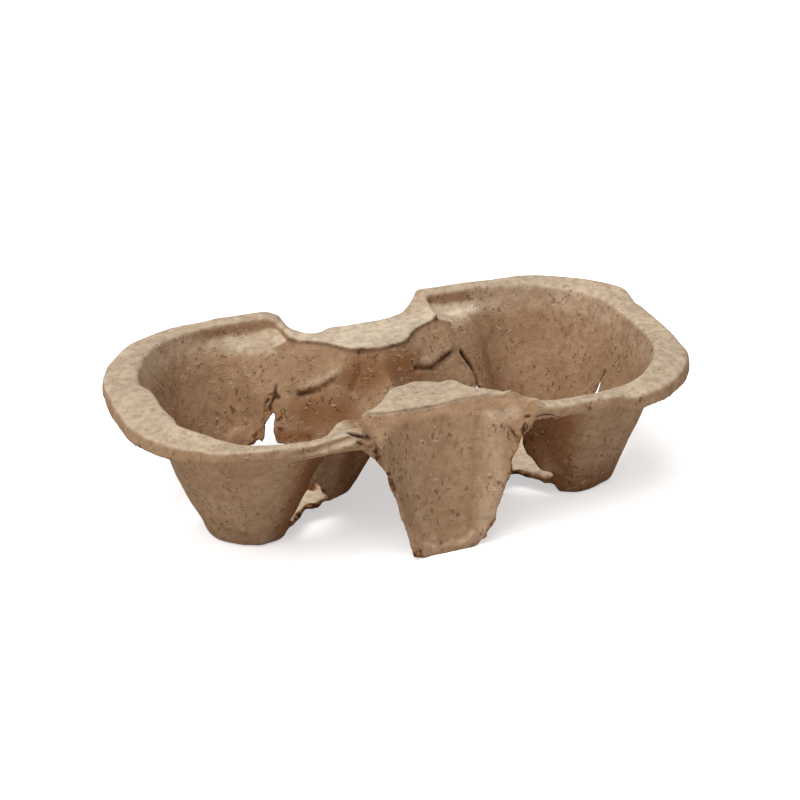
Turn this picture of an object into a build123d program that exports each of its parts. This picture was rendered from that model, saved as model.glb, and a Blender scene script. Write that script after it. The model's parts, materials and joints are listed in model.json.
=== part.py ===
"""Two-cup carrier moulded in one piece from paper pulp.

A rounded rim carries two cup wells. Each well narrows from a wide mouth to a raised floor
and stands on three feet, with an arch and a slit between each pair of feet. Between the
wells a finger scoop is set into each long side: a low bridge with a flap that runs down
from it to the table. The slit at each end is turned a little to the back.

Millimetres. X runs along the carrier, Y across it and Z up. The origin is in the middle
of the carrier, on the surface that the feet stand on.
"""

from build123d import *
import math
import os

os.makedirs("parts", exist_ok=True)

# Overall sizes
carrier_length = 196.0
carrier_width = 108.0
carrier_height = 48.5
wall = 2.2

# Rim
rim_corner = 44.0
rim_round = 2.0
mouth_round = 1.2
rim_end_width = 12.5
rim_side_width = 6.0
lip_depth = 5.0
ledge_drop = 5.5

# Cup wells
well_offset = 46.5
ledge_width = 1.2
channel_half_width = 17.0
channel_half_length = 8.0
channel_overlap = 9.0
foot_reach = 25.5
channel_foot_reach = 21.5
foot_hollow = 12.8
foot_round = 2.5
end_hollow_share = 0.45
slit_pinch = 4.0
channel_foot_pinch = 3.0

# Curves of the wells, as plain numbers
mouth_squareness = 2.3
shoulder_roundness = 0.8
shoulder_dip = 0.19
shoulder_dip_skew = 0.7
channel_squareness = 6
pinch_rise = 1.8
pinch_sharpness = 1.5

# Floor, arches and slits
floor_raise = 4.0
arch_width = 21.0
arch_top_width = 10.0
arch_height = 9.5
slit_width = 3.6
slit_tip_width = 0.8
slit_top = 34.0
slit_reach = 40.0
slit_turn = 116.0
end_slit_turn = 15.0

# Finger scoops
scoop_half_width = 25.0
scoop_depth = 14.0
bridge_drop = 2.0
flap_foot_half_width = 13.0
flap_foot_inset = 2.5
flap_foot_depth = 1.8
scoop_squareness = 3

# Worked out from the sizes above
rim_top = carrier_height
ledge_height = rim_top - ledge_drop
bridge_height = rim_top - bridge_drop
opening_half_length = carrier_length / 2 - rim_end_width
opening_half_width = carrier_width / 2 - rim_side_width
opening_corner = rim_corner - rim_side_width
end_reach = opening_half_length - ledge_width - well_offset
side_reach = opening_half_width - ledge_width
shoulder_reach = well_offset - channel_half_length
inner_reach = well_offset + channel_overlap
crease = carrier_width / 2 - scoop_depth
arch_base = floor_raise + wall
arch_top = arch_base + arch_height
slit_turns = (end_slit_turn, slit_turn, 360 - slit_turn)

# How finely the curves are drawn
foot_points = 12
turns = []
for slit, next_slit in zip(slit_turns, (*slit_turns[1:], slit_turns[0] + 360)):
    turns += [slit + (next_slit - slit) * step / foot_points for step in range(foot_points)]
shoulder_share = 0.78
shoulder_spacing = 1.2
loft_steps = 5
flap_steps = 12


def mouth_point(turn):
    """Point of the well's mouth, from the outer end (0) round to the channel (180)."""
    turn = turn % 360
    angle = math.radians(turn)
    side = math.copysign(1, math.sin(angle))
    if math.cos(angle) >= 0:
        power = 2 / mouth_squareness
        x = end_reach * math.cos(angle) ** power
        y = side_reach * abs(math.sin(angle)) ** power
        return x, side * y
    share = 1 - abs(turn - 180) / 90
    if share < shoulder_share:
        run = (share / shoulder_share) ** shoulder_spacing
        x = -shoulder_reach * run
        dip = shoulder_dip * math.sin(math.pi * run**shoulder_dip_skew)
        rise = (1 - run**2) ** shoulder_roundness - dip
        y = channel_half_width + (side_reach - channel_half_width) * rise
        return x, side * y
    run = (share - shoulder_share) / (1 - shoulder_share)
    x = -shoulder_reach - (inner_reach - shoulder_reach) * run
    y = channel_half_width * math.sqrt(1 - run**channel_squareness)
    return x, side * y


def between_feet(turn):
    """1 at each slit, 0 at the foot that stands half way between two slits."""
    for slit, next_slit in zip(slit_turns, (*slit_turns[1:], slit_turns[0] + 360)):
        share = (turn - slit) % 360 / (next_slit - slit)
        if share < 1:
            return (1 + math.cos(2 * math.pi * share)) / 2


def channel_share(angle):
    """0 at the outer end of a well, 1 half way between two feet near the channel."""
    return (1 - math.cos(angle)) / (1 - math.cos(math.radians(120)))


def channel_side(angle):
    """0 on the outer side of a well, 1 at the foot next to the channel."""
    return ((1 - math.cos(angle)) / 2) ** 4


def foot_point(turn):
    """Point of the floor's outline, a rounded triangle with a corner for each foot."""
    angle = math.radians(turn)
    between = between_feet(turn)
    hollow = between**2 * (3 - 2 * between)
    share = end_hollow_share + (1 - end_hollow_share) * channel_share(angle)
    reach = foot_reach - foot_hollow * hollow * share
    reach -= (foot_reach - channel_foot_reach) * channel_side(angle)
    return reach * math.cos(angle), reach * math.sin(angle)


def well_ring(height, growth):
    """Closed ring of points of the well at one height, pushed outwards by growth."""
    rise = min(height / ledge_height, 1.0)
    level = rise**pinch_rise
    bulge = 4 * level * (1 - level)
    ring = []
    for turn in turns:
        angle = math.radians(turn)
        foot_x, foot_y = foot_point(turn)
        mouth_x, mouth_y = mouth_point(turn)
        x = foot_x + (mouth_x - foot_x) * rise
        y = foot_y + (mouth_y - foot_y) * rise
        cusp = between_feet(turn) ** pinch_sharpness * channel_share(angle)
        pinch = slit_pinch * cusp + channel_foot_pinch * channel_side(angle)
        keep = 1 - pinch * bulge / math.hypot(x, y)
        ring.append((well_offset + x * keep, y * keep))
    return pushed(ring, growth, closed=True)


def pushed(points, distance, closed=False):
    """The same points moved to the right of their run by distance."""
    moved = []
    last = len(points) - 1
    for index, (x, y) in enumerate(points):
        before = points[index - 1] if closed or index > 0 else points[0]
        after = points[(index + 1) % len(points)] if closed or index < last else points[last]
        run_x, run_y = after[0] - before[0], after[1] - before[1]
        length = math.hypot(run_x, run_y)
        moved.append((x + run_y / length * distance, y - run_x / length * distance))
    return moved


def flap_curve(share):
    """Plan of the flap's outer face, at its crease (share 1) or at its foot (share 0)."""
    half_width = flap_foot_half_width + (scoop_half_width - flap_foot_half_width) * share
    depth = flap_foot_depth + (scoop_depth - flap_foot_depth) * share
    outer_y = carrier_width / 2 - flap_foot_inset * (1 - share)
    curve = []
    for step in range(flap_steps + 1):
        across = 2 * step / flap_steps - 1
        hollow = depth * (1 - abs(across) ** scoop_squareness)
        curve.append((half_width * across, hollow - outer_y))
    return curve


def rounded_plate(growth, bottom, top):
    """Plate of the rim's opening, grown outwards."""
    with BuildPart() as plate:
        with BuildSketch(Plane.XY.offset(bottom)):
            RectangleRounded(
                2 * (opening_half_length + growth),
                2 * (opening_half_width + growth),
                opening_corner + growth,
            )
        extrude(amount=top - bottom)
    return plate.part


def mouth_solid(growth, bottom, top):
    """Upright block of the well's mouth."""
    with BuildPart() as mouth:
        with BuildSketch(Plane.XY.offset(bottom)):
            with BuildLine():
                Spline(*well_ring(ledge_height, growth), periodic=True)
            make_face()
        extrude(amount=top - bottom)
    return mouth.part


def well_solid(growth, bottom, top):
    """One well as a solid, from its floor to its mouth."""
    rise = ledge_height - bottom
    heights = [bottom + rise * step / loft_steps for step in range(loft_steps + 1)]
    with BuildPart() as well:
        for height in heights:
            with BuildSketch(Plane.XY.offset(height)):
                with BuildLine():
                    Spline(*well_ring(height, growth), periodic=True)
                make_face()
        loft()
        if top > ledge_height:
            add(mouth_solid(growth, ledge_height, top))
    return well.part


def arch_cuts():
    """Arch and slit through the wall between each pair of feet of one well."""
    with BuildPart() as cuts:
        for turn in slit_turns:
            outward = Vector(1, 0, 0).rotate(Axis.Z, turn)
            across = Vector(0, 1, 0).rotate(Axis.Z, turn)
            with BuildSketch(Plane((well_offset, 0, 0), x_dir=across, z_dir=outward)):
                with BuildLine():
                    Polyline(
                        (-arch_width / 2, arch_base),
                        (-arch_top_width / 2, arch_top),
                        (-slit_width / 2, arch_top),
                        (-slit_tip_width / 2, slit_top),
                        (slit_tip_width / 2, slit_top),
                        (slit_width / 2, arch_top),
                        (arch_top_width / 2, arch_top),
                        (arch_width / 2, arch_base),
                        close=True,
                    )
                make_face()
            extrude(amount=slit_reach)
    return cuts.part


def floor_panel(growth, height):
    """Raised floor of one well, three arms that each run out to an arch."""
    with BuildPart() as panel:
        with BuildSketch():
            for turn in slit_turns:
                with Locations(Location((well_offset, 0, 0), (0, 0, turn))):
                    Rectangle(slit_reach, arch_width + 2 * growth, align=(Align.MIN, Align.CENTER))
        extrude(amount=height)
    return panel.part


def bridge_wall():
    """Upright wall under the bridges, round the part of one mouth that lies between them."""
    with BuildPart() as upright:
        add(mouth_solid(wall, ledge_height - wall, bridge_height))
        with BuildSketch(Plane.XY.offset(ledge_height - wall)):
            Rectangle(2 * (scoop_half_width + wall / 2), carrier_width)
        extrude(amount=rim_top, mode=Mode.INTERSECT)
    return upright.part


def rim_part():
    """Flange with its outer edge turned down, and the wall inside it down to the ledge."""
    with BuildPart() as rim:
        with BuildSketch(Plane.XY.offset(rim_top - lip_depth)):
            RectangleRounded(carrier_length, carrier_width, rim_corner)
        extrude(amount=lip_depth)
        fillet(rim.edges().group_by(Axis.Z)[-1], rim_round)
        with BuildSketch(Plane.XY.offset(rim_top - lip_depth)):
            RectangleRounded(carrier_length - 2 * wall, carrier_width - 2 * wall, rim_corner - wall)
        extrude(amount=lip_depth - wall, mode=Mode.SUBTRACT)
        add(rounded_plate(wall, ledge_height - wall, rim_top - wall / 2))
        add(rounded_plate(0, ledge_height, rim_top), mode=Mode.SUBTRACT)
        fillet(rim.edges().group_by(Axis.Z)[-1], mouth_round)
    return rim.part


def scoop_part():
    """Bridge between the wells at the front, with the flap that runs down from its crease."""
    crease_curve = flap_curve(1)
    with BuildPart() as scoop:
        with BuildSketch(Plane.XY.offset(bridge_height - wall)):
            with BuildLine():
                edge = Spline(*crease_curve)
                Polyline(edge @ 1, (scoop_half_width, 0), (-scoop_half_width, 0), edge @ 0)
            make_face()
        extrude(amount=wall)
        for share in (0, 1):
            outer = flap_curve(share)
            inner = pushed(outer, -wall)
            with BuildSketch(Plane.XY.offset(bridge_height * share)):
                with BuildLine():
                    front = Spline(*outer)
                    back = Spline(*inner)
                    Line(front @ 0, back @ 0)
                    Line(front @ 1, back @ 1)
                make_face()
        loft()
    return scoop.part


well = well_solid(0, wall, rim_top) - floor_panel(wall, floor_raise + wall)
well_shell = well_solid(wall, 0, ledge_height)
well_shell = fillet(well_shell.edges().group_by(Axis.Z)[0], foot_round)
well_cuts = (well, floor_panel(0, floor_raise), arch_cuts())
upright = bridge_wall()
scoop = scoop_part()

with BuildPart() as carrier_tray:
    add(rim_part())
    with BuildSketch(Plane.XY.offset(ledge_height - 2 * wall)):
        Rectangle(2 * scoop_half_width, carrier_width + 2 * wall)
    extrude(amount=rim_top, mode=Mode.SUBTRACT)
    for side in (-1, 1):
        with BuildSketch(Plane.XY.offset(rim_top - lip_depth)):
            with Locations((side * (scoop_half_width + wall / 2), 0)):
                Rectangle(wall, carrier_width)
        extrude(amount=lip_depth - wall / 2)
    with BuildSketch(Plane.XY.offset(ledge_height - wall)):
        Rectangle(2 * (scoop_half_width + wall), 2 * crease)
    extrude(amount=wall)
    for piece in (scoop, scoop.mirror(Plane.XZ)):
        add(piece)
    for piece in (well_shell, upright):
        add(piece)
        add(piece.mirror(Plane.YZ))
    for piece in well_cuts:
        add(piece, mode=Mode.SUBTRACT)
        add(piece.mirror(Plane.YZ), mode=Mode.SUBTRACT)

carrier_tray.part.label = "carrier_tray"
export_step(carrier_tray.part, "parts/carrier_tray.step")
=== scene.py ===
"""Moulded pulp cup carrier: looks, floor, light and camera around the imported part."""

import json
import math

import bmesh
import bpy
import numpy as np
from mathutils import Matrix, Vector


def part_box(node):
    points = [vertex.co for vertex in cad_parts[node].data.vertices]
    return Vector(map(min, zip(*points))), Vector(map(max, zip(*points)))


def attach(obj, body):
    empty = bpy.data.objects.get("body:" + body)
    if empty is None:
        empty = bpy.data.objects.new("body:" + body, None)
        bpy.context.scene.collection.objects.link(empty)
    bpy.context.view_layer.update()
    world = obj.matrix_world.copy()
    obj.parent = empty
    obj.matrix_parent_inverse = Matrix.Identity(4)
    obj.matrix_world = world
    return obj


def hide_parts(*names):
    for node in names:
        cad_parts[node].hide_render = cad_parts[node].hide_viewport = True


MM = 0.001
SEED = 11

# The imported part
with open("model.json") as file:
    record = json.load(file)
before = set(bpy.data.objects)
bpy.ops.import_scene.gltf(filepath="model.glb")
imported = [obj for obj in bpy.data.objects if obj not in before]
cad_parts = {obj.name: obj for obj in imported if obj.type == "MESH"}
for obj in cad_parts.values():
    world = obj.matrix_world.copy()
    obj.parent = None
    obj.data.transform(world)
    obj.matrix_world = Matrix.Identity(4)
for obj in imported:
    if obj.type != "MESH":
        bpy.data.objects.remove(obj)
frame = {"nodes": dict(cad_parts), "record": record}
mounts = {mount["name"]: mount for mount in frame["record"]["mounts"]}
lowest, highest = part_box("carrier_tray")

# Camera, from the fit to the photograph
YAW = math.radians(18.5)
PITCH = math.radians(24.2)
ROLL = math.radians(-1.4)
DISTANCE = 1.0
AIM = Vector((0, 0, 0.02))
LENS = 132.8
SENSOR = 36
SHIFT_X = 0.0011
SHIFT_Y = 0.045

# Floor: half its width in metres, its colours for the camera and for the light, and its glow
FLOOR_HALF = 3.0
FLOOR_SEEN = (1.15, 1.15, 1.16, 1)
FLOOR_UNSEEN = (0.8, 0.8, 0.8, 1)
FLOOR_LIFT = 0.5

# Lights: name, energy, spread in degrees, and the direction that the light comes from
SUNS = (
    ("soft_sun", 1.95, 60, (-0.32, -0.16, 1)),
    ("front_fill", 0.64, 80, (-1.35, -1, 0.3)),
)
WORLD_FILL = 0.31
WHITE = (1, 1, 1, 1)

# Pulp mesh: sizes of its cells, number of triangles, and rounds and steps of smoothing
COARSE_VOXEL = 0.9 * MM
VOXEL = 0.62 * MM
TRIANGLES = 196000
COARSE_ROUNDS = 2
FINE_ROUNDS = 3
LEDGE_ROUNDS = 220
STEP_IN = 0.5
STEP_OUT = 0.45

# Length that a single place is given as a line, in millimetres
SHORTEST_LINE = 1e-3

# Sharp edges: rounds of averaging, and how far the surface bulges there, in millimetres
SHARPNESS_ROUNDS = 3
SHARP_BULGE = (0, 0.05)

# Noise: strength of each finer layer, seeds from one axis to the next, and the numbers and
# shifts that mix a cell and a seed into some low bits
LAYER_GAIN = 0.5
AXIS_SEEDS = 40
CELL_MIX = (73856093, 19349663, 83492791)
SEED_MIX = 2654435
LAST_MIX = 1274126177
MIX_SHIFTS = (13, 16)
LOW_BITS = 0xFFFF

# Sizes of the solid, in millimetres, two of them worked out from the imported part
HALF_WIDTH = (highest[1] - lowest[1]) / 2 / MM
WELL_OFFSET = mounts["well_right"]["pos_m"][0] / MM
BRIDGE_TOP = 46.5
WALL = 2.2

# From here on lengths are in millimetres, and a pair is where a fade begins and where it is
# full, unless the comment says otherwise

# Arches and slits of one well, and the turns of its slits in degrees
END_TURN = 15
BACK_TURN = 116
FRONT_TURN = 244
SLIT_TURNS = (END_TURN, BACK_TURN, FRONT_TURN)
SLIT_TOP = 34
SLIT_HALF_WIDTH = 1.5
SLIT_TIP_HALF_WIDTH = 0.4
ARCH_TOP = 16
ARCH_HALF_WIDTH = 12

# How the slits close: height, how much lower at the right end, the fades around that height
# and above the top, and how far beside the slit and out from the well's middle it works
SLIT_CLOSED = 24
RIGHT_END_DROP = 2
SLIT_CLOSING = (-2, 2)
SLIT_ENDING = (5, 1)
SLIT_REACH = 9
SLIT_OUTWARD = (5, 9)

# How the slit at the back left leans and widens between the closed part and the arch
LEAN = -3.0
WIDENING = 0.3
LEAN_FOOT = (10, 14)
LEAN_HEAD = (4, -2)

# How far torn edges reach from the arches and slits
SLIT_SIDE = (4, 0)
SLIT_ABOVE = (3, 0)
ARCH_FADE = (2, -1)
CUT_OUTWARD = (6, 9)

# Torn outline of the front flap: heights, half widths there, how far the edge reaches in and
# up, the zone around it, and how torn it is where the arches' edges are 1
FLAP_HEIGHTS = (0, 38)
FLAP_HALF_WIDTHS = (14, 25)
FLAP_SIDE = (-3, -1)
FLAP_FOOT = (3, 1)
FLAP_ZONE_HALF_WIDTH = 28
FLAP_ZONE_BACK = -44
FLAP_ZONE_TOP = 40
FLAP_CUT_SHARE = 0.6

# Webs in the front corners, where the rim meets the bridge: three corners each, and how far
# around the first corner the surface is softened, and how much
WEBS = (
    ((-28.5, -31, 45.6), (-42.5, -49.5, 47.3), (-24, -50, 45)),
    ((28, -32.5, 45.6), (37, -49.5, 46.5), (24, -50, 44)),
)
WEB_REACH = 9
WEB_SOFTNESS = 0.12

# Worn step inside the rim: how far it faces inwards, its heights, and where it starts on each
# side
LEDGE_FACING = (0, 12)
LEDGE_BOTTOM = (33, 36)
LEDGE_TOP = (47.4, 46.6)
LEDGE_LEFT = 52
LEDGE_RIGHT = 42
LEDGE_FADE = 7

# Line that the front bridge falls away from, as X and Y, how far it falls in front of it, and
# the zone where it does
CREASE_X = (-29, -25, -21, -16, -5, 2, 10, 26)
CREASE_Y = (-30, -33, -35, -36.5, -36.5, -36, -34.2, -34)
CREASE_STEP = 1.2
CREASE_FADE = 1.2
SHOULDER_FALL = 4.2
SHOULDER_LIMIT = 1.15
SHOULDER_SIDES = (29, 25.5)
SHOULDER_HEIGHT = (28, 44)
SHOULDER_BACK = -30

# Thin lip of the back bridge: how far the wall under it rises, and the zone where it does
LIP_RISE_SHARE = 0.5
LIP_RISE_DEPTH = 4
LIP_RISE_SIDES = (34, 26)
LIP_RISE_FRONT = (10, 14)
LIP_RISE_HEIGHT = (32, 40)

# Painted shadow line under that lip: how little it faces up, its height, the zone around it, its share
LIP_STEEPNESS = (0.75, 0.35)
LIP_HEIGHT = (43.8, 44.6)
LIP_HALF_LENGTH = 30
LIP_FRONT = 12
LIP_BACK = 36
LIP_SHARE = 0.5

# Painted top light where the tops face up: how far they face up, their heights on the rim and on
# the back bridge, and where the back bridge is
TOP_FACING_UP = (0.25, 0.75)
RIM_TOP = (40, 43)
BACK_BRIDGE_TOP = (45.4, 45.9)
BACK_BRIDGE_HALF_LENGTH = 32
BACK_BRIDGE_FRONT = 10
BACK_BRIDGE_BACK = 37

# Painted top light is stronger still on the back bridge, less so towards its outer edge
EXTRA_PAINTED_LIGHT = 0.45
EXTRA_PAINTED_LIGHT_SIDES = (33, 29)
EXTRA_PAINTED_LIGHT_BACK = (44, 36)

# No painted top light on the front bridge in front of the crease
SHOULDER_SHADE = (0, 1)
SHOULDER_SHADE_SIDES = (33, 29)

# Painted top light on the raised round floors of the wells: their height, how far they face up, and how
# strong it is
WELL_FLOOR_HEIGHT = (8.5, 7)
WELL_FLOOR_FACING_UP = (0.6, 0.9)
WELL_FLOOR_PAINTED_LIGHT = 1.4

# Painted shade on the outer walls of the wells: how far they face out and, from 0 to 1, to the
# middle, how high and far along they are, and the flaps, which are left out
PAINTED_SHADE_FACING = (0, 6)
PAINTED_SHADE_TOWARDS_MIDDLE = (0.12, 0.52)
PAINTED_SHADE_TOP = (43, 40)
PAINTED_SHADE_SIDES = (58, 50)
PAINTED_SHADE_FLAP_HALF_WIDTH = 27
PAINTED_SHADE_FLAP_FRONT = 38

# How this one carrier is pulled out of the true shape: line, reach and shift
PULLS = (
    # Rim at the back, left and right of the scoop
    (((-76, 42, 48), (-58, 51, 48), (-30, 54, 48)), 16, (0, 1.9, 0.9)),
    (((-45, 52, 48), (-32, 53, 48)), 8, (0, 0.4, 0.5)),
    (((27, 52, 48), (60, 54, 48), (80, 44, 48), (90, 28, 48)), 14, (0.4, 1.0, 1.6)),
    # Right end of the rim
    (((96, 16, 46), (98, 0, 46), (97, -12, 46)), 12, (-2.7, 0, 0)),
    # Turned-down lip of the rim, at the front right and at the left end
    (((97, -22, 44), (84, -42, 44), (66, -52, 44)), 10, (0, -0.5, -3.2)),
    (((-98, 5, 44), (-95, -20, 44), (-85, -38, 44)), 9, (0, 0, -2.4)),
    # Inner edge of the rim at the left, and the rim at the front left and front right
    (((-85.5, 5, 47), (-85.5, -18, 47)), 8, (2.4, 0, 0)),
    (((-76, -44, 48), (-45, -48, 48)), 10, (0, -0.6, -1.5)),
    (((38, -50, 48), (58, -50, 48), (76, -42, 48)), 9, (0, 0, -1.3)),
    # Feet of both wells, and the edges between them
    (((-82, -16, 36), (-77, -4, 20), (-74, -2, 12)), 11, (-1.8, -0.3, 0)),
    (((75, -27, 28), (72, -24, 16), (68, -18, 2)), 15, (2.2, -0.9, 0)),
    (((-24, -2, 0), (-28, -8, 0)), 10, (0, 0, 4.6)),
    (((-51, -26, 8), (-53, -26, 0)), 8, (-1.6, 0, 0)),
    (((-35, -19, 20), (-33, -16, 11)), 6, (-2.2, -0.8, 0)),
    (((40, -24, 20), (43, -24, 12)), 6, (-2.4, -0.8, 0)),
    (((47, -27, 8), (50, -26, 0)), 8, (1.8, 0, 0)),
    # Arch of the left well at the back, torn upwards and to the left
    (((-41, 28, 15), (-47, 28.5, 11)), 8, (0, 0, 5.5)),
    (((-44, 25, 11.5), (-46, 29, 8.5)), 6.8, (-3.6, 1.7, 0)),
    # Sides and foot of the front flap
    (((-22, -51, 35), (-15, -51, 10)), 6, (0.8, 0, 0)),
    (((-13, -51.5, 1), (4, -51.5, 1)), 7, (0, -2.6, 0)),
    (((13, -51, 0), (13, -51, 3)), 6, (-0.6, 0, 1.8)),
    # Edges of the front and back bridges
    (((-8, -17, 46.5), (3, -16.5, 46.5)), 7, (0, 0.9, 0.3)),
    (((15, -22, 46.5), (20, -25, 46.5), (28, -32, 46)), 8, (0, 3.0, 1.4)),
    (((-22, 49, 46), (-17, 45, 46)), 9, (0, -3, -2)),
)

# Folds and curled edges that the mould left: line, reach and push
FOLDS = (
    # Curled edge of the pad on the left, and the hollow under it
    (((-28, 22, 34.5), (-21, 19.5, 35), (-14.5, 18.5, 38.5)), 4.5, (-0.5, -1.0, 0.7)),
    (
        ((-27.9, 21.8, 30.8), (-24.1, 20.4, 31.7), (-21.3, 18.8, 33), (-17.4, 17.6, 35.5)),
        1.8, (0.4, 1.0, -0.7),
    ),
    # The same on the right
    (((18, 19.5, 37), (23, 22, 37.5), (28, 27, 38.5)), 4.5, (0.4, -0.9, 0.6)),
    (
        ((12, 15.8, 36.6), (18, 18.4, 34.2), (23, 21.6, 34.7), (28, 25.6, 35.6)),
        1.8, (-0.4, 1.0, -0.7),
    ),
    # Upright fold under the back bridge
    (((-6.7, 18.5, 44.4), (-6.7, 17.2, 41.2), (-11.4, 14.1, 33.2)), 2.2, (0.3, 0.8, -0.4)),
    # Folds along the front rim, left of the flap
    (((-55, -54, 44), (-44, -54, 45.6), (-32.5, -54, 47.4)), 1.5, (0, 0.8, 0)),
    (((-52, -54, 42.4), (-42, -54, 43.8), (-33, -54, 45.4)), 1.2, (0, -0.6, 0)),
    (((-50, -54, 41), (-41, -54, 42.2), (-33, -54, 43.6)), 1.3, (0, 0.8, 0)),
    # Upright fold on the right of the flap, and the curve where its foot flares
    (
        ((14.5, -43, 43), (12, -43.8, 36), (11.5, -45.7, 26), (9.5, -47.5, 15), (8, -48.8, 6)),
        2.6, (0.3, 0.8, 0),
    ),
    (((-10, -50.3, 4.6), (-4, -50, 2.8), (4.6, -50, 3.6), (9, -49.7, 6)), 2.2, (0, 0.6, 0)),
)

# Each spot below is a line, its reach and its share, and a share over 1 is stronger still

# Painted light on lit pads and facets
PAINTED_LIGHT_SPOTS = (
    # Top right corner of the flap
    (((17.5, -44, 43), (24, -45.5, 43)), 5, 0.6),
    # Pads on the step inside the rim, beside the scoop
    (((-57, 41, 43.3), (-41, 44, 43.3)), 5, 1.5),
    (((34, 43, 43.3), (43, 45, 43.3)), 4.5, 1.8),
    # Right side of the flap
    (((18, -45, 36), (16, -48, 20), (13, -50, 4)), 6, 0.35),
    # Curled pads under the back bridge
    (((-27, 22.5, 33.5), (-21, 20.5, 35.6), (-15, 18.4, 39.5)), 2, 0.6),
    (((12, 16.4, 39), (19, 20.4, 37), (28, 26.6, 38.2)), 2, 0.6),
)

# Painted shade
PAINTED_SHADE_SPOTS = (
    # Under the back bridge
    (((-8, 15, 38), (8, 15, 38)), 11, 1),
    # Beside the arch at the back of the left well, and under the left pad
    (((-37, 17.5, 18.5), (-33.6, 16.6, 18.7), (-27, 14.7, 18.8)), 3.5, 1),
    (((-26, 18, 26), (-16, 15, 26)), 10, 1),
    # Front foot of the right well
    (((66, -24, 2), (50, -28, 4)), 12, 0.7),
)

# Crumpled places, where the pulp is torn and bunched, each a single place instead of a line
CRUMPLES = (
    ((-29, -52.5, 44.5), 5.0, 1),
    ((-26, -51.5, 41), 4.5, 1),
    ((25.5, -53, 42), 4.5, 1),
    ((31, -52, 42), 5.0, 1),
    ((37, -52, 42), 4.5, 1),
    ((43, -52, 41.5), 3.5, 1),
    ((-13.5, -53, 1.5), 4.0, 1),
    ((-44, 27, 16), 6.0, 1),
    ((-37, 25, 26), 5.0, 1),
)

# Places where the torn fibres show
TORN_SPOTS = (
    # Around the slit and the arch at the back of the left well
    (
        ((-37.5, 26.5, 31), (-38.3, 25.5, 29.5), (-40.5, 23, 23), (-42.5, 22, 19), (-46, 26, 14.8)),
        2.3, 0.8,
    ),
    (((-46, 26, 14.8), (-50, 29, 12.5)), 3, 0.8),
    (((-35.3, 24.7, 31.5), (-35.6, 21.5, 26), (-36.3, 18.4, 21), (-36.6, 17.3, 18.5)), 2.0, 0.8),
    (((-36.6, 17.3, 18.3), (-33.6, 16.6, 18.5), (-27, 14.7, 18.4)), 1.2, 0.7),
    # Front corners, right and left, and the foot of the flap
    (((22.9, -52.6, 36.7), (25.7, -53.6, 42), (31, -53, 42.5)), 2.2, 0.8),
    (((-31, -53, 46.5), (-28, -54, 44), (-25.5, -54, 40)), 2.2, 0.7),
    (((-14, -53.5, 1), (-12, -53.5, 3)), 3, 1),
    # Nicks on the outer foot of the left well
    (((-79, -10.6, 21.5), (-78, -10.6, 20)), 2.2, 0.8),
    (((-71.8, -18.2, 9.8), (-70, -19.5, 7)), 2, 0.7),
)

# Cracks and dark nicks, and painted shadow lines in the front bridge's crease and under the curled pads
CRACKS_AND_SHADOW_LINES = (
    # Front corner on the left
    (((-33.8, -51.2, 48.5), (-32.7, -52.8, 48), (-31.2, -53.3, 47.3), (-29.9, -53.3, 46.9)), 1.3, 1),
    (((-29.9, -53.3, 46.9), (-27.7, -52.1, 45.9), (-25.5, -50.9, 43.8), (-25.1, -53.6, 41.7)), 1.4, 1),
    (((-31.6, -54.3, 45.6), (-29.4, -53.5, 43.8), (-27.1, -53.5, 43.1)), 0.8, 0.8),
    # Front corner on the right
    (((25.7, -51, 43.4), (26.7, -52.8, 44.6), (31.6, -54.3, 44.4), (37.1, -53.7, 42.9)), 0.8, 0.8),
    (((24, -53.4, 39.7), (24.8, -53, 41.5), (25.7, -51, 43.4)), 0.8, 0.7),
    (((20, -48.5, 41), (22.5, -51.5, 37.5)), 0.7, 0.7),
    # Painted shadow line in the crease of the front bridge
    (((-24.6, -33.2, 46.3), (-21.4, -34.9, 46.3), (-16.3, -36.5, 46.3)), 0.8, 0.4),
    (((-16.3, -36.5, 46.3), (-5, -36.8, 46.3), (2, -36.3, 46.3)), 0.8, 0.4),
    (((2, -36.3, 46.3), (10.2, -34.6, 46.3), (21, -34.6, 46.3)), 0.8, 0.4),
    # Closed tops of the slits
    (((-35.1, 26.6, 33.9), (-36.5, 24.6, 30), (-38.2, 22.7, 26.3)), 1.0, 0.8),
    (((33.0, 27.4, 35.1), (34.8, 25.2, 31), (36.5, 23.2, 25.6)), 1.6, 1),
    (((78.2, 6.9, 28.8), (76.5, 7.6, 24)), 1.0, 0.8),
    # Painted shadow lines under the curled pads, left and right
    (
        (
            (-27.9, 21.8, 31.4), (-24.1, 20.4, 32.3), (-21.3, 18.8, 33.8),
            (-18.4, 17.6, 35.9), (-16, 17, 37.4),
        ),
        0.9, 0.5,
    ),
    (
        (
            (11.6, 15.8, 37.2), (15.1, 16.5, 35.9), (18.6, 18.2, 35.1),
            (23.5, 22.5, 35.5), (28, 25.5, 36.4),
        ),
        0.9, 0.5,
    ),
)
CRACK_DEPTH = 1.3
CRACK_AND_SHADOW_DARKNESS = 1.5

# Roughness of the surface: size, seed and layers of each noise, and its height or its mean
PATCH_NOISE = (7, SEED + 90, 2)
PATCH_MEAN = 0.5
FIBRE_NOISE = (1.6, SEED + 60, 2)
EDGE_NOISE = (4.2, SEED + 200, 2)
EDGE_ROUGHNESS = 0.7
CRUMPLE_NOISE = (3.0, SEED + 400, 2)
CRUMPLE_ROUGHNESS = 1.5
SWELL_NOISE = (13, SEED, 2)
SWELL = 0.20
BUMP_NOISE = (3.4, SEED + 7, 3)
BUMP = 0.09

# Torn fibres: shares on cut edges and in crumpled places, and how the fibres vary
EDGE_TORN = 0.75
CRUMPLE_TORN = 0.6
FIBRE_MEAN = 0.6
FIBRE_SPREAD = 0.6

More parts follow.
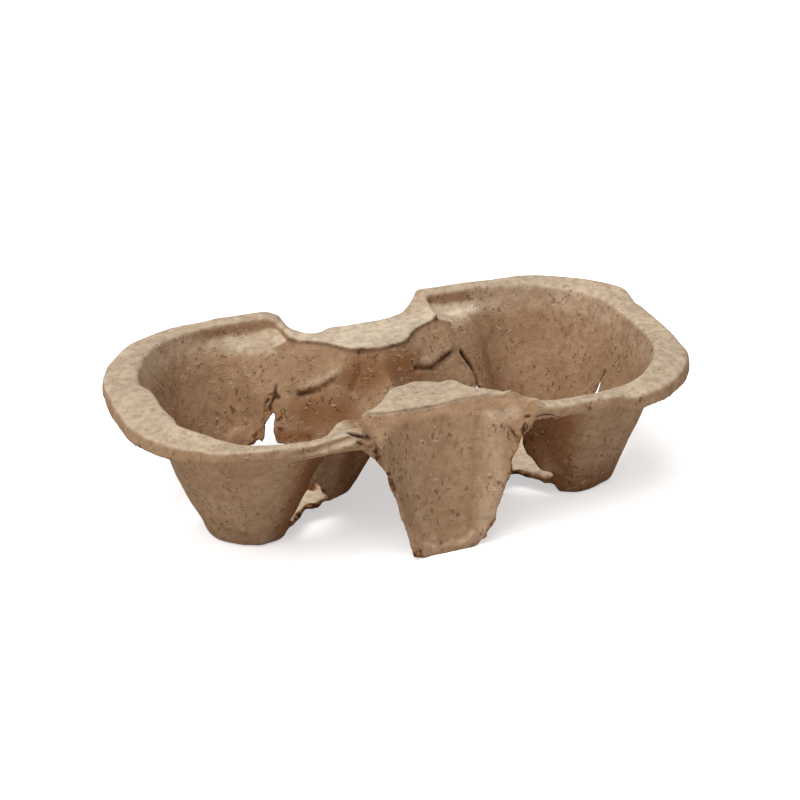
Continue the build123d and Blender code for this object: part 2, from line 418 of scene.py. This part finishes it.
# Colours of the pulp, as sRGB from 0 to 255, a pair being the darkest and the lightest
WALL_COLOURS = ((168, 134, 104), (180, 147, 116))
# Painted top light: the paler colours of the up-facing tops
PAINTED_LIGHT_COLOURS = ((206, 185, 160), (218, 196, 168))
TORN_COLOURS = ((84, 52, 30), (166, 122, 84))
# Painted shade colour, for the walls between the wells and under the bridges
PAINTED_SHADE_COLOUR = (141, 91, 53)
MOTTLE_COLOUR = (138, 104, 76)
BLOT_COLOUR = (118, 86, 60)
MARK_COLOUR = (104, 74, 50)
FLECK_COLOUR = (214, 188, 158)
# Colour of the cracks and of the painted shadow lines in the crease, under the pads and under the lip
CRACK_AND_SHADOW_COLOUR = (58, 36, 22)

# Grains of the pulp: bumps per metre, detail, and the range that is spread over 0 to 1
BLOTCHES = (110, 3, (0.35, 0.65))
PATCHES = (95, 2, (0.4, 0.62))
MOTTLE = (380, 5, (0.38, 0.66))
BLOTS = (330, 4, (0.58, 0.72))
MARKS = (760, 1, (0.6, 0.72))
FLECKS = (700, 1, (0.6, 0.72))
FIBRES = (520, 4, (0.4, 0.62))

# Marks and flecks are long: how they are squeezed and turned, in radians
MARK_SQUEEZE = (1, 1, 0.55)
MARK_TURN = (0.4, 0.9, 0.3)
FLECK_SQUEEZE = (0.55, 1, 1)
FLECK_TURN = (0.8, 0.2, 0.7)

# How strongly each grain is mixed in, and how much patches and the painted top light change that
PAINTED_SHADE_SHARE = 0.85
MOTTLE_SHARE = 0.34
BLOT_SHARE = 0.7
MARK_SHARE = 0.8
FLECK_SHARE = 0.5
PATCH_LEAST = 0.3
PATCH_SPREAD = 0.6
PAINTED_LIGHT_MARK_FADE = 0.5
TORN_RANGE = (0.15, 0.6)

# Surface of the pulp: gloss, and bumps per metre, detail and height of its grain and lumps
ROUGHNESS = 0.95
SPECULAR = 0.1
GRAIN = (1500, 4)
GRAIN_HEIGHT = 0.5
LUMPS = (420, 3)
LUMP_HEIGHT = 0.9
BUMP_STRENGTH = 0.7
BUMP_DISTANCE = 0.45 * MM

# Sockets of the mix node that hold its share, its two colours and its result
MIX_INPUTS = (0, 6, 7)
MIX_OUTPUT = 2


def linear(red, green, blue):
    """Scene colour of an sRGB colour given from 0 to 255."""
    return tuple(((c / 255 + 0.055) / 1.055) ** 2.4 for c in (red, green, blue)) + (1.0,)


def ramp(value, start, end):
    """0 at start and 1 at end, even between them and level beyond them."""
    return np.clip((value - start) / (end - start), 0, 1)


# Noise

def lattice(cells, seed):
    """A number from -1 to 1 for each whole-number cell."""
    x, y, z = cells[..., 0], cells[..., 1], cells[..., 2]
    mixed = (x * CELL_MIX[0]) ^ (y * CELL_MIX[1]) ^ (z * CELL_MIX[2]) ^ (seed * SEED_MIX)
    mixed = (mixed ^ (mixed >> MIX_SHIFTS[0])) * LAST_MIX
    mixed = (mixed ^ (mixed >> MIX_SHIFTS[1])) & LOW_BITS
    return mixed / (LOW_BITS / 2) - 1


def noise(points, size, seed):
    """Smooth noise from -1 to 1 with bumps of about the given size, in the units of points."""
    scaled = points / size
    base = np.floor(scaled).astype(np.int64)
    part = scaled - base
    ease = part * part * (3 - 2 * part)
    total = np.zeros(len(points))
    for corner in range(8):
        step = np.array([corner & 1, corner >> 1 & 1, corner >> 2 & 1])
        weight = np.prod(np.where(step, ease, 1 - ease), axis=1)
        total += weight * lattice(base + step, seed)
    return total


def layered(points, size, seed, layers):
    """Sum of finer and finer noise."""
    total = np.zeros(len(points))
    for layer in range(layers):
        total += noise(points, size / 2**layer, seed + layer) * LAYER_GAIN**layer
    return total


def scatter(points, size, seed, layers):
    """Three independent noises, as a shift in every direction."""
    seeds = [seed + AXIS_SEEDS * axis for axis in range(3)]
    return np.stack([layered(points, size, own_seed, layers) for own_seed in seeds], axis=1)


# Mesh helpers

def read_points(mesh):
    """Vertex places of a mesh, in millimetres."""
    flat = np.empty(len(mesh.vertices) * 3)
    mesh.vertices.foreach_get("co", flat)
    return flat.reshape(-1, 3) / MM


def read_normals(mesh):
    """Vertex normals of a mesh."""
    flat = np.empty(len(mesh.vertices) * 3)
    mesh.vertex_normals.foreach_get("vector", flat)
    return flat.reshape(-1, 3)


def write_points(mesh, points):
    """Puts places in millimetres back into a mesh."""
    mesh.vertices.foreach_set("co", (points * MM).ravel())
    mesh.update()


def neighbours(mesh):
    """Both ends of each edge, and how many edges meet at each vertex."""
    flat = np.empty(len(mesh.edges) * 2, np.int64)
    mesh.edges.foreach_get("vertices", flat)
    pairs = flat.reshape(-1, 2)
    count = np.bincount(pairs.ravel(), minlength=len(mesh.vertices))
    return pairs, count


def averaged(values, pairs, count):
    """Mean of the neighbours' values at each vertex."""
    if values.ndim > 1:
        return np.stack([averaged(column, pairs, count) for column in values.T], axis=1)
    size = len(values)
    total = np.bincount(pairs[:, 0], values[pairs[:, 1]], size)
    total += np.bincount(pairs[:, 1], values[pairs[:, 0]], size)
    return total / count


def smoothed(points, pairs, count, rounds):
    """Smooths with little shrinking, by a step in and a smaller step out."""
    for _ in range(rounds):
        points = points + STEP_IN * (averaged(points, pairs, count) - points)
        points = points - STEP_OUT * (averaged(points, pairs, count) - points)
    return points


def nearness(points, line, reach):
    """1 on a line of places or at a single one, falling smoothly to 0 at the given distance."""
    line = np.asarray(line, float)
    if line.ndim == 1:
        line = np.stack([line, line + SHORTEST_LINE])
    close = np.all((points > line.min(0) - reach) & (points < line.max(0) + reach), axis=1)
    near = points[close]
    distance = np.full(len(near), np.inf)
    for start, end in zip(line[:-1], line[1:]):
        run = end - start
        share = np.clip((near - start) @ run / (run @ run), 0, 1)
        distance = np.minimum(distance, np.linalg.norm(near - start - share[:, None] * run, axis=1))
    weight = np.zeros(len(points))
    weight[close] = np.clip(1 - (distance / reach) ** 2, 0, 1) ** 2
    return weight


def strongest(points, spots):
    """The largest share that any of the spots has at each point."""
    most = np.zeros(len(points))
    for line, reach, share in spots:
        most = np.maximum(most, share * nearness(points, line, reach))
    return most


def shifted(points, place, shifts):
    """The points moved by every shift whose line is near their given places."""
    for line, reach, shift in shifts:
        points = points + nearness(place, line, reach)[:, None] * np.array(shift)
    return points


def set_attribute(mesh, name, values):
    """Stores one number per vertex for the material."""
    layer = mesh.attributes.new(name, "FLOAT", "POINT")
    layer.data.foreach_set("value", values.astype(np.float32))


def applied(source):
    """Mesh of an object with its modifiers carried out."""
    bpy.context.scene.collection.objects.link(source)
    depsgraph = bpy.context.evaluated_depsgraph_get()
    mesh = bpy.data.meshes.new_from_object(source.evaluated_get(depsgraph))
    bpy.data.objects.remove(source)
    return mesh


def remeshed(mesh, voxel):
    """The same solid with an even mesh."""
    source = bpy.data.objects.new("remesh_source", mesh)
    modifier = source.modifiers.new("even", "REMESH")
    modifier.mode = "VOXEL"
    modifier.voxel_size = voxel
    return applied(source)


def thinned(mesh):
    """The same surface with fewer triangles where it is plain."""
    source = bpy.data.objects.new("thin_source", mesh)
    modifier = source.modifiers.new("thin", "DECIMATE")
    modifier.ratio = TRIANGLES / sum(len(face.vertices) - 2 for face in mesh.polygons)
    modifier.use_collapse_triangulate = True
    return applied(source)


# Shape of this one carrier

def webbed(mesh):
    """The solid with its two webs, each a thin wedge that runs into the walls."""
    build = bmesh.new()
    build.from_mesh(mesh)
    for corners in WEBS:
        upper = [build.verts.new(Vector(corner) * MM) for corner in corners]
        lower = [build.verts.new((Vector(corner) - Vector((0, 0, WALL))) * MM) for corner in corners]
        build.faces.new(upper)
        build.faces.new(lower)
        for index in range(3):
            after = (index + 1) % 3
            build.faces.new((upper[index], upper[after], lower[after], lower[index]))
    bmesh.ops.recalc_face_normals(build, faces=build.faces)
    joined = bpy.data.meshes.new("webbed")
    build.to_mesh(joined)
    build.free()
    return joined


def ledge_share(points, normals):
    """1 on the step inside the rim, which is worn round away from the channel, 0 elsewhere."""
    x, y, z = points.T
    inward = -(normals[:, 0] * (np.abs(x) - WELL_OFFSET) * np.sign(x) + normals[:, 1] * y)
    facing = ramp(inward, *LEDGE_FACING) + np.clip(normals[:, 2], 0, 1)
    start = np.where(x < 0, LEDGE_LEFT, LEDGE_RIGHT)
    away = ramp(np.abs(x), start, start + LEDGE_FADE)
    return np.clip(facing, 0, 1) * ramp(z, *LEDGE_BOTTOM) * ramp(z, *LEDGE_TOP) * away


def before_crease(points):
    """How far in front of the front bridge's crease each point is."""
    return np.interp(points[:, 0], CREASE_X, CREASE_Y) - points[:, 1]


def shoulder_fall(points):
    """How far each point of the front bridge drops, in front of the crease."""
    x, y, z = points.T
    before = before_crease(points)
    fall = np.clip(before / (HALF_WIDTH + y + before), 0, SHOULDER_LIMIT) * SHOULDER_FALL
    fall += ramp(before, 0, CREASE_FADE) * CREASE_STEP
    zone = ramp(np.abs(x), *SHOULDER_SIDES) * ramp(z, *SHOULDER_HEIGHT)
    return np.where(y < SHOULDER_BACK, fall * zone, 0)


def lip_rise(points, normals):
    """How far the walls under the back bridge rise towards its edge, so that its lip is thin."""
    x, y, z = points.T
    shown = np.clip(np.clip(-normals[:, 1], 0, 1) + np.clip(normals[:, 2], 0, 1), 0, 1)
    zone = ramp(np.abs(x), *LIP_RISE_SIDES) * ramp(y, *LIP_RISE_FRONT) * ramp(z, *LIP_RISE_HEIGHT)
    return LIP_RISE_SHARE * np.clip(BRIDGE_TOP - z, 0, LIP_RISE_DEPTH) * shown * zone


def slit_places(points):
    """Side, turn and crossing direction of each slit, and how far out and across each point is."""
    for side in (-1, 1):
        from_well = points - np.array([side * WELL_OFFSET, 0, 0])
        for turn in SLIT_TURNS:
            angle = math.radians(turn)
            outward = np.array([side * math.cos(angle), math.sin(angle), 0])
            crossing = np.array([-side * math.sin(angle), math.cos(angle), 0])
            yield side, turn, crossing, from_well @ outward, from_well @ crossing


def slits_reshaped(points):
    """Closes each slit above its torn part, and leans and widens the one at the back left."""
    moved = points.copy()
    height = points[:, 2]
    half = np.interp(height, (ARCH_TOP, SLIT_TOP), (SLIT_HALF_WIDTH, SLIT_TIP_HALF_WIDTH))
    for side, turn, crossing, out, across in slit_places(points):
        near = np.clip(1 - (across / SLIT_REACH) ** 2, 0, 1) ** 2 * ramp(out, *SLIT_OUTWARD)
        drop = RIGHT_END_DROP if (side, turn) == (1, END_TURN) else 0
        start = SLIT_CLOSED - drop
        closed = ramp(height - start, *SLIT_CLOSING) * ramp(height - SLIT_TOP, *SLIT_ENDING)
        shift = -np.sign(across) * half * closed
        if (side, turn) == (-1, BACK_TURN):
            leaning = ramp(height - SLIT_CLOSED, *LEAN_HEAD) * ramp(height, *LEAN_FOOT)
            shift += (WIDENING * np.sign(across) + LEAN) * leaning
        moved += (near * shift)[:, None] * crossing
    return moved


def pulled(mesh):
    """Pulls the solid out of the true shape, and closes its slits at the top."""
    pairs, count = neighbours(mesh)
    points = smoothed(read_points(mesh), pairs, count, COARSE_ROUNDS)
    write_points(mesh, points)
    normals = read_normals(mesh)
    soft = ledge_share(points, normals)
    for corners in WEBS:
        soft = np.maximum(soft, WEB_SOFTNESS * nearness(points, corners[0], WEB_REACH))
    soft = soft[:, None]
    for _ in range(LEDGE_ROUNDS):
        points = points + STEP_IN * soft * (averaged(points, pairs, count) - points)
    place = points
    points = shifted(points, place, PULLS)
    points[:, 2] -= shoulder_fall(place)
    points[:, 2] += lip_rise(place, normals)
    write_points(mesh, slits_reshaped(points))


def cut_edges(points):
    """1 close to the arches and slits between the feet, 0 away from them."""
    near = np.zeros(len(points))
    height = points[:, 2]
    for _, _, _, out, across in slit_places(points):
        beside = np.abs(across)
        slit = ramp(beside, *SLIT_SIDE) * ramp(height - SLIT_TOP, *SLIT_ABOVE)
        arch = ramp(beside - ARCH_HALF_WIDTH, *ARCH_FADE) * ramp(height - ARCH_TOP, *ARCH_FADE)
        near = np.maximum(near, np.maximum(slit, arch) * ramp(out, *CUT_OUTWARD))
    return near


def flap_edges(points):
    """1 on the outline of the front flap below the bridge, 0 away from it."""
    x, y, z = points.T
    half = np.interp(z, FLAP_HEIGHTS, FLAP_HALF_WIDTHS)
    outline = np.maximum(ramp(np.abs(x) - half, *FLAP_SIDE), ramp(z, *FLAP_FOOT))
    zone = (np.abs(x) < FLAP_ZONE_HALF_WIDTH) * (y < FLAP_ZONE_BACK) * (z < FLAP_ZONE_TOP)
    return outline * zone


def sharpness(points, normals, pairs, count):
    """How much the surface bulges at each vertex, from 0 on flat parts to 1 on sharp edges."""
    bulge = np.einsum("ij,ij->i", points - averaged(points, pairs, count), normals)
    for _ in range(SHARPNESS_ROUNDS):
        bulge = averaged(bulge, pairs, count)
    return ramp(bulge, *SHARP_BULGE)


def torn_share(points, edges, cuts, crumpled):
    """How far the fibres are torn: on cut edges, in crumpled places and at the torn spots."""
    patchy = np.clip(PATCH_MEAN + layered(points, *PATCH_NOISE), 0, 1)
    torn = EDGE_TORN * edges * cuts * patchy + CRUMPLE_TORN * crumpled * edges
    fibres = FIBRE_MEAN + FIBRE_SPREAD * layered(points, *FIBRE_NOISE)
    return np.clip(np.maximum(torn, fibres * strongest(points, TORN_SPOTS)), 0, 1)


def lip_shade(points, normals):
    """Painted shadow: 1 on the step down from the edge of the back bridge, 0 elsewhere."""
    x, y, z = points.T
    lip = ramp(normals[:, 2], *LIP_STEEPNESS) * ramp(z, *LIP_HEIGHT)
    return lip * (np.abs(x) < LIP_HALF_LENGTH) * (y > LIP_FRONT) * (y < LIP_BACK)


def painted_light_share(points, normals):
    """Painted top light: 1 on the up-facing rim and bridges, more on the floors, and at the lit spots,
    0 elsewhere.
    """
    x, y, z = points.T
    beside = np.abs(x)
    bridge = (beside < BACK_BRIDGE_HALF_LENGTH) * (y > BACK_BRIDGE_FRONT) * (y < BACK_BRIDGE_BACK)
    top = np.where(bridge, ramp(z, *BACK_BRIDGE_TOP), ramp(z, *RIM_TOP))
    top *= ramp(normals[:, 2], *TOP_FACING_UP)
    extra = ramp(beside, *EXTRA_PAINTED_LIGHT_SIDES) * ramp(y, *EXTRA_PAINTED_LIGHT_BACK) * (y > BACK_BRIDGE_FRONT)
    top *= 1 + EXTRA_PAINTED_LIGHT * extra
    shoulder = ramp(before_crease(points), *SHOULDER_SHADE) * ramp(beside, *SHOULDER_SHADE_SIDES)
    shoulder *= y < SHOULDER_BACK
    floors = ramp(z, *WELL_FLOOR_HEIGHT) * ramp(normals[:, 2], *WELL_FLOOR_FACING_UP)
    painted_light = np.maximum(top * (1 - shoulder), WELL_FLOOR_PAINTED_LIGHT * floors)
    return np.maximum(painted_light, strongest(points, PAINTED_LIGHT_SPOTS))


def painted_shade_mask(points, normals):
    """Painted shade: 1 on the shaded outer walls between the wells and at the shaded spots, 0
    elsewhere.
    """
    x, y, z = points.T
    beside = np.abs(x)
    sideways = normals[:, 0] * np.sign(x)
    facing = ramp((beside - WELL_OFFSET) * sideways + y * normals[:, 1], *PAINTED_SHADE_FACING)
    facing *= ramp(-sideways, *PAINTED_SHADE_TOWARDS_MIDDLE)
    low = ramp(z, *PAINTED_SHADE_TOP) * ramp(beside, *PAINTED_SHADE_SIDES)
    flap = (beside < PAINTED_SHADE_FLAP_HALF_WIDTH) * (np.abs(y) > PAINTED_SHADE_FLAP_FRONT)
    return np.maximum(facing * low * (1 - flap), strongest(points, PAINTED_SHADE_SPOTS))


def shaped(mesh):
    """Gives the even mesh the folds, torn edges and bumps of this one carrier."""
    pairs, count = neighbours(mesh)
    place = smoothed(read_points(mesh), pairs, count, FINE_ROUNDS)
    write_points(mesh, place)
    normals = read_normals(mesh)
    edges = sharpness(place, normals, pairs, count)
    cuts = np.maximum(cut_edges(place), FLAP_CUT_SHARE * flap_edges(place))
    crumpled = strongest(place, CRUMPLES)
    cracks_and_shadow_lines = strongest(place, CRACKS_AND_SHADOW_LINES)

    points = shifted(place, place, FOLDS)
    points += (edges * cuts)[:, None] * EDGE_ROUGHNESS * scatter(place, *EDGE_NOISE)
    points += crumpled[:, None] * CRUMPLE_ROUGHNESS * scatter(place, *CRUMPLE_NOISE)
    points -= normals * cracks_and_shadow_lines[:, None] * CRACK_DEPTH
    bumps = SWELL * layered(place, *SWELL_NOISE) + BUMP * layered(place, *BUMP_NOISE)
    points += normals * bumps[:, None]
    points[:, 2] = np.maximum(points[:, 2], 0)
    write_points(mesh, points)

    normals = read_normals(mesh)
    # Cracks with painted shadow lines, and the painted shadow under the back bridge's lip
    dark = np.maximum(CRACK_AND_SHADOW_DARKNESS * cracks_and_shadow_lines, LIP_SHARE * lip_shade(place, normals))
    # Painted top light on the up-facing tops, the floors and the lit spots
    set_attribute(mesh, "painted_light", painted_light_share(place, normals))
    # Painted shade on the walls between the wells and under the bridges
    set_attribute(mesh, "painted_shade", painted_shade_mask(place, normals))
    set_attribute(mesh, "torn", torn_share(place, edges, cuts, crumpled))
    set_attribute(mesh, "crack_and_shadow", np.clip(dark, 0, 1))


# Materials

def new_material(name):
    """Empty node material with its output."""
    material = bpy.data.materials.new(name)
    material.use_nodes = True
    tree = material.node_tree
    tree.nodes.clear()
    output = tree.nodes.new("ShaderNodeOutputMaterial")
    return material, tree, output


class Shades:
    """Short calls for the nodes that a material is mixed from."""

    def __init__(self, tree):
        self.tree = tree
        self.place = tree.nodes.new("ShaderNodeTexCoord").outputs["Object"]

    def noise(self, scale, detail, squeeze=(1, 1, 1), turn=(0, 0, 0)):
        """Noise whose grains are stretched along the axes with a small squeeze."""
        mapping = self.tree.nodes.new("ShaderNodeMapping")
        mapping.inputs["Scale"].default_value = squeeze
        mapping.inputs["Rotation"].default_value = turn
        self.tree.links.new(self.place, mapping.inputs["Vector"])
        node = self.tree.nodes.new("ShaderNodeTexNoise")
        node.inputs["Scale"].default_value = scale
        node.inputs["Detail"].default_value = detail
        self.tree.links.new(mapping.outputs["Vector"], node.inputs["Vector"])
        return node.outputs["Fac"]

    def stretch(self, value, low, high):
        """The value's range from low to high spread over 0 to 1."""
        node = self.tree.nodes.new("ShaderNodeMapRange")
        node.interpolation_type = "SMOOTHSTEP"
        node.inputs["From Min"].default_value = low
        node.inputs["From Max"].default_value = high
        self.tree.links.new(value, node.inputs["Value"])
        return node.outputs["Result"]

    def grains(self, kind, squeeze=(1, 1, 1), turn=(0, 0, 0)):
        """Noise of one kind of grain, spread over 0 to 1."""
        scale, detail, spread = kind
        return self.stretch(self.noise(scale, detail, squeeze, turn), *spread)

    def math(self, operation, first, second):
        """Sum, product or the like of two values, either of which may be a number."""
        node = self.tree.nodes.new("ShaderNodeMath")
        node.operation = operation
        for socket, value in zip(node.inputs, (first, second)):
            if isinstance(value, (int, float)):
                socket.default_value = value
            else:
                self.tree.links.new(value, socket)
        return node.outputs["Value"]

    def times(self, first, second):
        """Product of two values."""
        return self.math("MULTIPLY", first, second)

    def attribute(self, name):
        """A number that the mesh carries at each vertex."""
        node = self.tree.nodes.new("ShaderNodeAttribute")
        node.attribute_name = name
        return node.outputs["Fac"]

    def mix(self, share, first, second, clamped=True):
        """Two colours mixed, each of which may be a plain colour."""
        node = self.tree.nodes.new("ShaderNodeMix")
        node.data_type = "RGBA"
        node.clamp_factor = clamped
        for index, value in zip(MIX_INPUTS, (share, first, second)):
            socket = node.inputs[index]
            if isinstance(value, tuple):
                socket.default_value = value
            else:
                self.tree.links.new(value, socket)
        return node.outputs[MIX_OUTPUT]

    def between(self, share, colours):
        """Colour between a pair given as sRGB from 0 to 255."""
        darkest, lightest = colours
        return self.mix(share, linear(*darkest), linear(*lightest))


def pulp_material():
    """Matt brown moulded pulp with mottling, fibres, pits, cracks and torn brown edges, and painted top
    light, shade and shadow lines.
    """
    material, tree, output = new_material("moulded_pulp")
    shader = tree.nodes.new("ShaderNodeBsdfPrincipled")
    shader.inputs["Roughness"].default_value = ROUGHNESS
    shader.inputs["Specular IOR Level"].default_value = SPECULAR
    tree.links.new(shader.outputs["BSDF"], output.inputs["Surface"])
    shades = Shades(tree)
    painted_light = shades.attribute("painted_light")

    blotches = shades.grains(BLOTCHES)
    wall_colour = shades.between(blotches, WALL_COLOURS)
    painted_light_colour = shades.between(blotches, PAINTED_LIGHT_COLOURS)
    # Painted top light: paler colour where the tops face up
    colour = shades.mix(painted_light, wall_colour, painted_light_colour, clamped=False)
    # Painted shade
    painted_shade_share = shades.times(shades.attribute("painted_shade"), PAINTED_SHADE_SHARE)
    colour = shades.mix(painted_shade_share, colour, linear(*PAINTED_SHADE_COLOUR))
    mottle_share = shades.times(shades.grains(MOTTLE), MOTTLE_SHARE)
    colour = shades.mix(mottle_share, colour, linear(*MOTTLE_COLOUR))

    uneven = shades.math("ADD", shades.times(shades.grains(PATCHES), PATCH_SPREAD), PATCH_LEAST)
    strong = shades.times(uneven, shades.math("SUBTRACT", 1, shades.times(painted_light, PAINTED_LIGHT_MARK_FADE)))
    marks = shades.grains(MARKS, MARK_SQUEEZE, MARK_TURN)
    flecks = shades.grains(FLECKS, FLECK_SQUEEZE, FLECK_TURN)
    for kind, share, tint in (
        (shades.grains(BLOTS), BLOT_SHARE, BLOT_COLOUR),
        (marks, MARK_SHARE, MARK_COLOUR),
        (flecks, FLECK_SHARE, FLECK_COLOUR),
    ):
        colour = shades.mix(shades.times(kind, shades.times(strong, share)), colour, linear(*tint))

    torn_colour = shades.between(shades.grains(FIBRES), TORN_COLOURS)
    colour = shades.mix(shades.stretch(shades.attribute("torn"), *TORN_RANGE), colour, torn_colour)
    # Cracks and painted shadow lines
    colour = shades.mix(shades.attribute("crack_and_shadow"), colour, linear(*CRACK_AND_SHADOW_COLOUR))
    tree.links.new(colour, shader.inputs["Base Color"])

    grain = shades.times(shades.noise(*GRAIN), GRAIN_HEIGHT)
    lumps = shades.times(shades.noise(*LUMPS), LUMP_HEIGHT)
    pits = shades.times(shades.math("SUBTRACT", flecks, marks), strong)
    height = shades.math("ADD", shades.math("ADD", grain, lumps), pits)
    bump = tree.nodes.new("ShaderNodeBump")
    bump.inputs["Strength"].default_value = BUMP_STRENGTH
    bump.inputs["Distance"].default_value = BUMP_DISTANCE
    tree.links.new(height, bump.inputs["Height"])
    tree.links.new(bump.outputs["Normal"], shader.inputs["Normal"])
    return material


def by_ray(tree, seen, unseen, output):
    """Shows the camera one shader and everything else another."""
    path = tree.nodes.new("ShaderNodeLightPath")
    mix = tree.nodes.new("ShaderNodeMixShader")
    tree.links.new(path.outputs["Is Camera Ray"], mix.inputs[0])
    tree.links.new(unseen.outputs[0], mix.inputs[1])
    tree.links.new(seen.outputs[0], mix.inputs[2])
    tree.links.new(mix.outputs[0], output.inputs["Surface"])


def floor_material():
    """Pale floor that keeps a light shadow and looks white to the camera."""
    material, tree, output = new_material("floor")
    seen = tree.nodes.new("ShaderNodeBsdfDiffuse")
    seen.inputs["Color"].default_value = FLOOR_SEEN
    lift = tree.nodes.new("ShaderNodeEmission")
    lift.inputs["Strength"].default_value = FLOOR_LIFT
    both = tree.nodes.new("ShaderNodeAddShader")
    tree.links.new(seen.outputs[0], both.inputs[0])
    tree.links.new(lift.outputs[0], both.inputs[1])
    unseen = tree.nodes.new("ShaderNodeBsdfDiffuse")
    unseen.inputs["Color"].default_value = FLOOR_UNSEEN
    by_ray(tree, both, unseen, output)
    return material


# Stage

def add_floor():
    """Pale floor under the carrier."""
    mesh = bpy.data.meshes.new("floor")
    corners = [(x * FLOOR_HALF, y * FLOOR_HALF, 0) for x, y in ((-1, -1), (1, -1), (1, 1), (-1, 1))]
    mesh.from_pydata(corners, [], [(0, 1, 2, 3)])
    mesh.materials.append(floor_material())
    floor = bpy.data.objects.new("floor", mesh)
    bpy.context.scene.collection.objects.link(floor)


def add_sun(name, energy, spread, direction):
    """Soft light that comes from one direction."""
    lamp = bpy.data.lights.new(name, "SUN")
    lamp.energy = energy
    lamp.angle = math.radians(spread)
    sun = bpy.data.objects.new(name, lamp)
    sun.rotation_euler = Vector(direction).to_track_quat("Z", "Y").to_euler()
    bpy.context.scene.collection.objects.link(sun)


def add_background(tree, strength):
    """White background light of the given strength."""
    background = tree.nodes.new("ShaderNodeBackground")
    background.inputs["Color"].default_value = WHITE
    background.inputs["Strength"].default_value = strength
    return background


def add_light():
    """Soft light from above, a weaker one from the front and a plain white world."""
    for sun in SUNS:
        add_sun(*sun)
    world = bpy.data.worlds.new("studio")
    world.use_nodes = True
    tree = world.node_tree
    tree.nodes.clear()
    output = tree.nodes.new("ShaderNodeOutputWorld")
    by_ray(tree, add_background(tree, 1), add_background(tree, WORLD_FILL), output)
    bpy.context.scene.world = world


def add_camera():
    """Camera at the photograph's angle."""
    back = Vector((-math.sin(YAW) * math.cos(PITCH), -math.cos(YAW) * math.cos(PITCH), math.sin(PITCH)))
    level = Vector((math.cos(YAW), -math.sin(YAW), 0))
    upright = back.cross(level)
    right = math.cos(ROLL) * level + math.sin(ROLL) * upright
    up = math.cos(ROLL) * upright - math.sin(ROLL) * level
    turn = Matrix((right, up, back)).transposed().to_4x4()
    data = bpy.data.cameras.new("camera")
    data.lens = LENS
    data.sensor_width = SENSOR
    data.shift_x = SHIFT_X
    data.shift_y = SHIFT_Y
    camera = bpy.data.objects.new("camera", data)
    camera.matrix_world = Matrix.Translation(AIM + back * DISTANCE) @ turn
    bpy.context.scene.collection.objects.link(camera)
    bpy.context.scene.camera = camera


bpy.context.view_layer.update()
bpy.context.scene.view_settings.view_transform = "Standard"

add_floor()
add_light()
add_camera()

even = remeshed(webbed(frame["nodes"]["carrier_tray"].data), COARSE_VOXEL)
pulled(even)
fine = remeshed(even, VOXEL)
shaped(fine)
mesh = thinned(fine)
mesh.name = "pulp_tray"
mesh.materials.clear()
mesh.materials.append(pulp_material())
mesh.polygons.foreach_set("use_smooth", [True] * len(mesh.polygons))
tray = bpy.data.objects.new("pulp_tray", mesh)
bpy.context.scene.collection.objects.link(tray)
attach(tray, "root")
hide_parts("carrier_tray")
